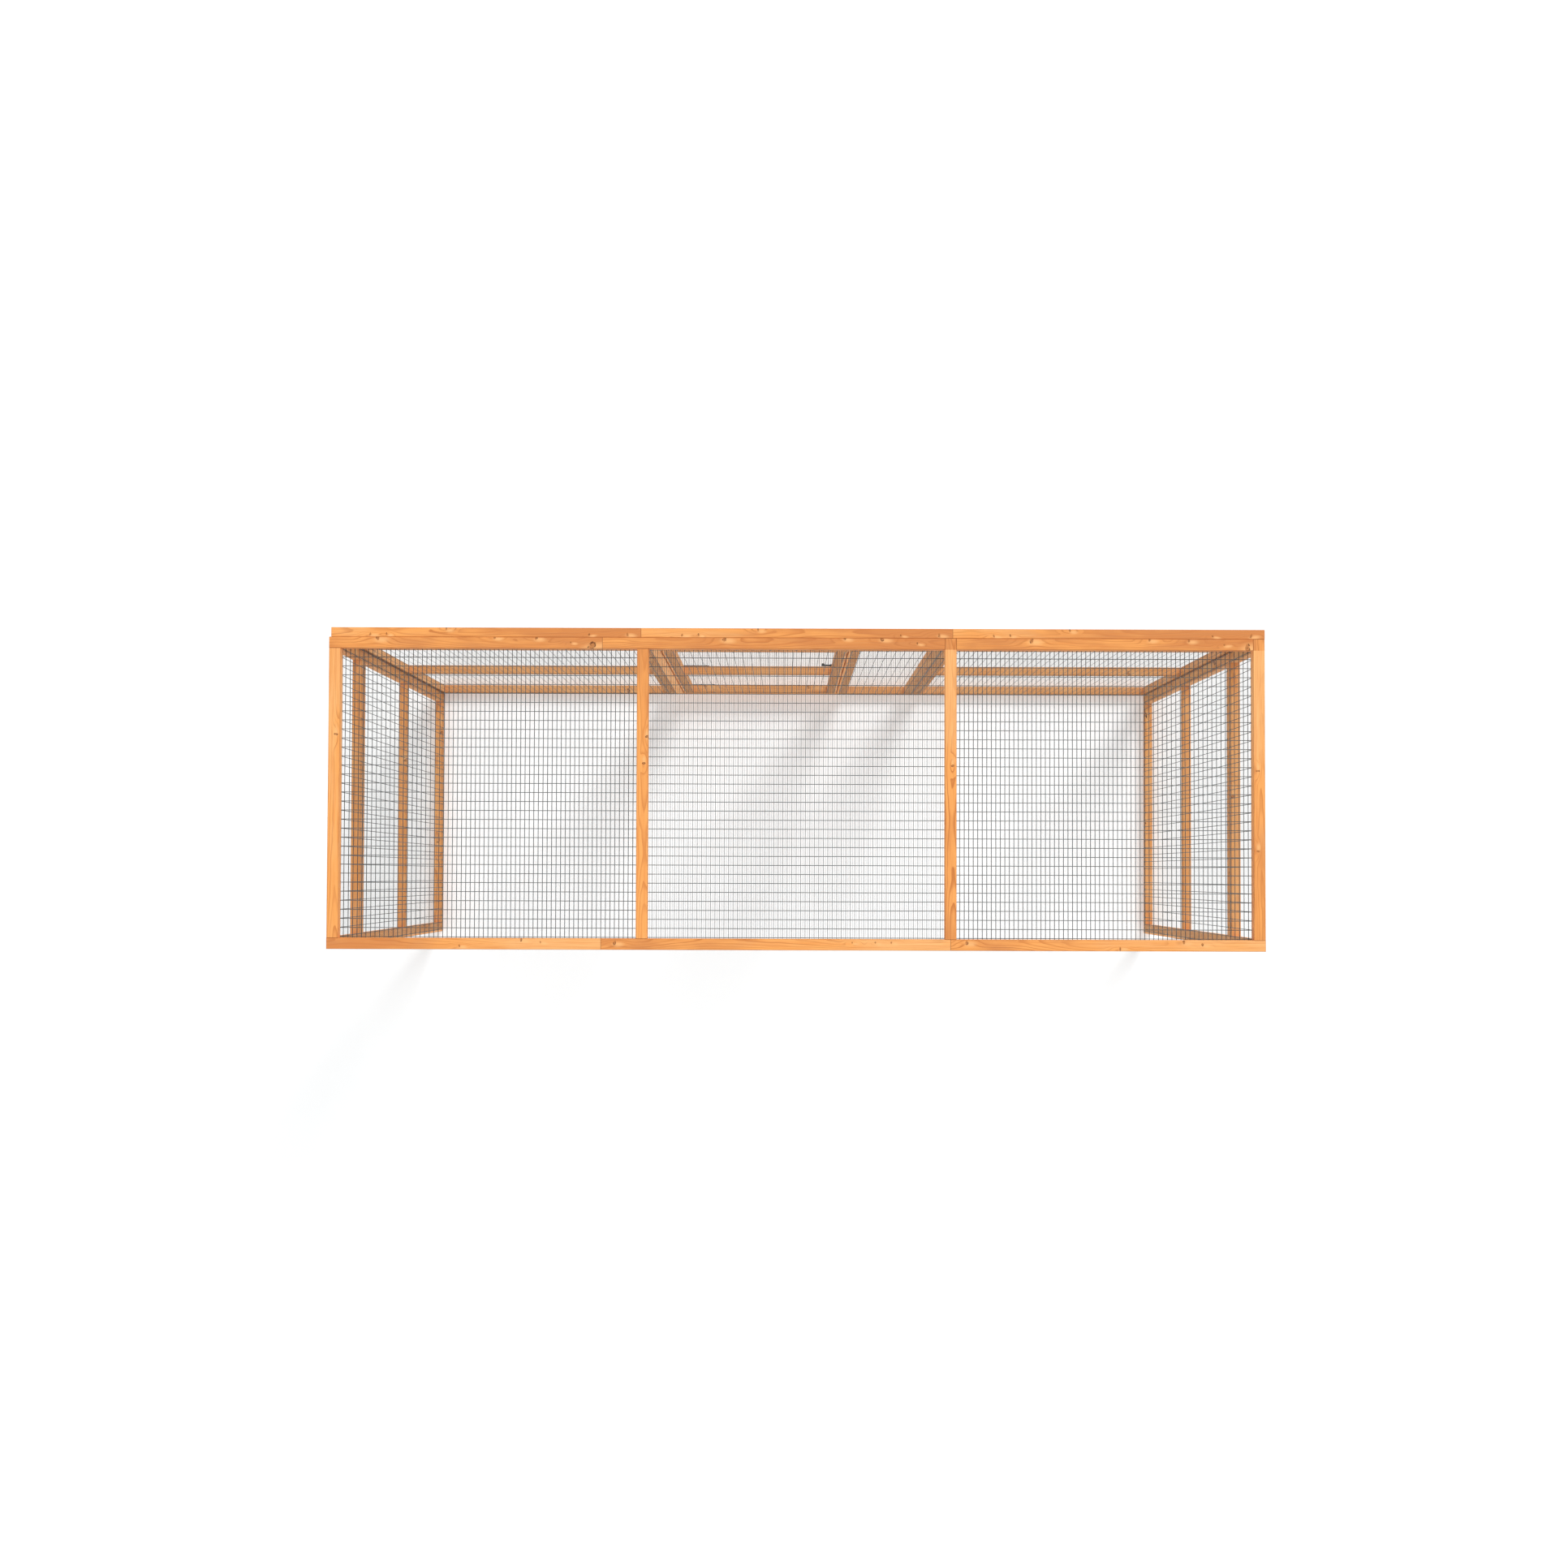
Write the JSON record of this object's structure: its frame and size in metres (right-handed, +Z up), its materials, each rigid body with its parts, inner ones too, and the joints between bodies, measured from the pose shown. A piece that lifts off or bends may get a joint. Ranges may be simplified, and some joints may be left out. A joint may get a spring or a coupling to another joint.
{
  "type": "cat enclosure",
  "caption": "Lean-to outdoor cat enclosure of stained timber frames and welded wire, open at the back, flat wire roof, hinged door with strap hinges and a sliding bolt.",
  "frame": {"origin": "middle of the bounding box at ground level", "axes": "+X along the front wall, towards the hinge side of the door; +Y from the door to the open back; +Z up"},
  "size_m": [2.742, 0.954, 2.265],
  "materials": {
    "stained_timber": "planed softwood with a golden orange stain, matt",
    "roof_timber": "planed softwood with a golden orange stain, matt, the paler rafter stock",
    "galvanised_wire": "dull grey galvanised welded wire",
    "black_iron": "black semi-matt coating"
  },
  "bodies": {
    "enclosure": {"front_corner_stile_left": "stained_timber", "front_corner_stile_right": "stained_timber", "front_seam_stiles_left": "stained_timber", "front_seam_stiles_right": "stained_timber", "front_bottom_rail_left": "stained_timber", "front_bottom_rail_right": "stained_timber", "front_mid_rail_left": "stained_timber", "front_mid_rail_right": "stained_timber", "front_upper_rail_left": "stained_timber", "front_upper_rail_right": "stained_timber", "front_top_rails": "stained_timber", "threshold": "stained_timber", "head_rail": "stained_timber", "latch_post": "stained_timber", "side_front_posts_left": "stained_timber", "side_front_posts_right": "stained_timber", "side_back_posts_left": "stained_timber", "side_back_posts_right": "stained_timber", "side_bottom_rail_left": "stained_timber", "side_bottom_rail_right": "stained_timber", "side_mid_rail_left": "stained_timber", "side_mid_rail_right": "stained_timber", "side_double_rail_left": "stained_timber", "side_double_rail_right": "stained_timber", "side_top_rail_left": "stained_timber", "side_top_rail_right": "stained_timber", "roof_front_rail": "stained_timber", "roof_back_rail": "stained_timber", "rafter_end_left": "roof_timber", "rafter_left": "roof_timber", "rafter_right": "roof_timber", "rafter_end_right": "roof_timber", "front_net_left": "galvanised_wire", "front_net_right": "galvanised_wire", "transom_net": "galvanised_wire", "sidelight_net": "galvanised_wire", "side_lower_net_left": "galvanised_wire", "side_lower_net_right": "galvanised_wire", "side_upper_net_left": "galvanised_wire", "side_upper_net_right": "galvanised_wire", "roof_net_left": "galvanised_wire", "roof_net_middle": "galvanised_wire", "roof_net_right": "galvanised_wire", "hinge_flanges": "black_iron", "hinge_pins": "black_iron", "bolt_keeper": "black_iron"},
    "door": {"door_hinge_stile": "stained_timber", "door_latch_stile": "stained_timber", "door_top_rail": "stained_timber", "door_mid_rail": "stained_timber", "door_bottom_rail": "stained_timber", "door_net": "galvanised_wire", "hinge_straps": "black_iron", "bolt_plate": "black_iron"},
    "bolt": {"bolt_rod": "black_iron"}
  },
  "joints": [
    {"name": "door_hinge", "type": "hinge", "parent": "enclosure", "child": "door", "pos_m": [0.4205, -0.4702, 0.9335], "axis": [0, 0, 1], "range_deg": [0, 170]},
    {"name": "bolt_slide", "type": "slide", "parent": "door", "child": "bolt", "axis": [-1, 0, 0], "range_m": [0, 0.018]}
  ]
}
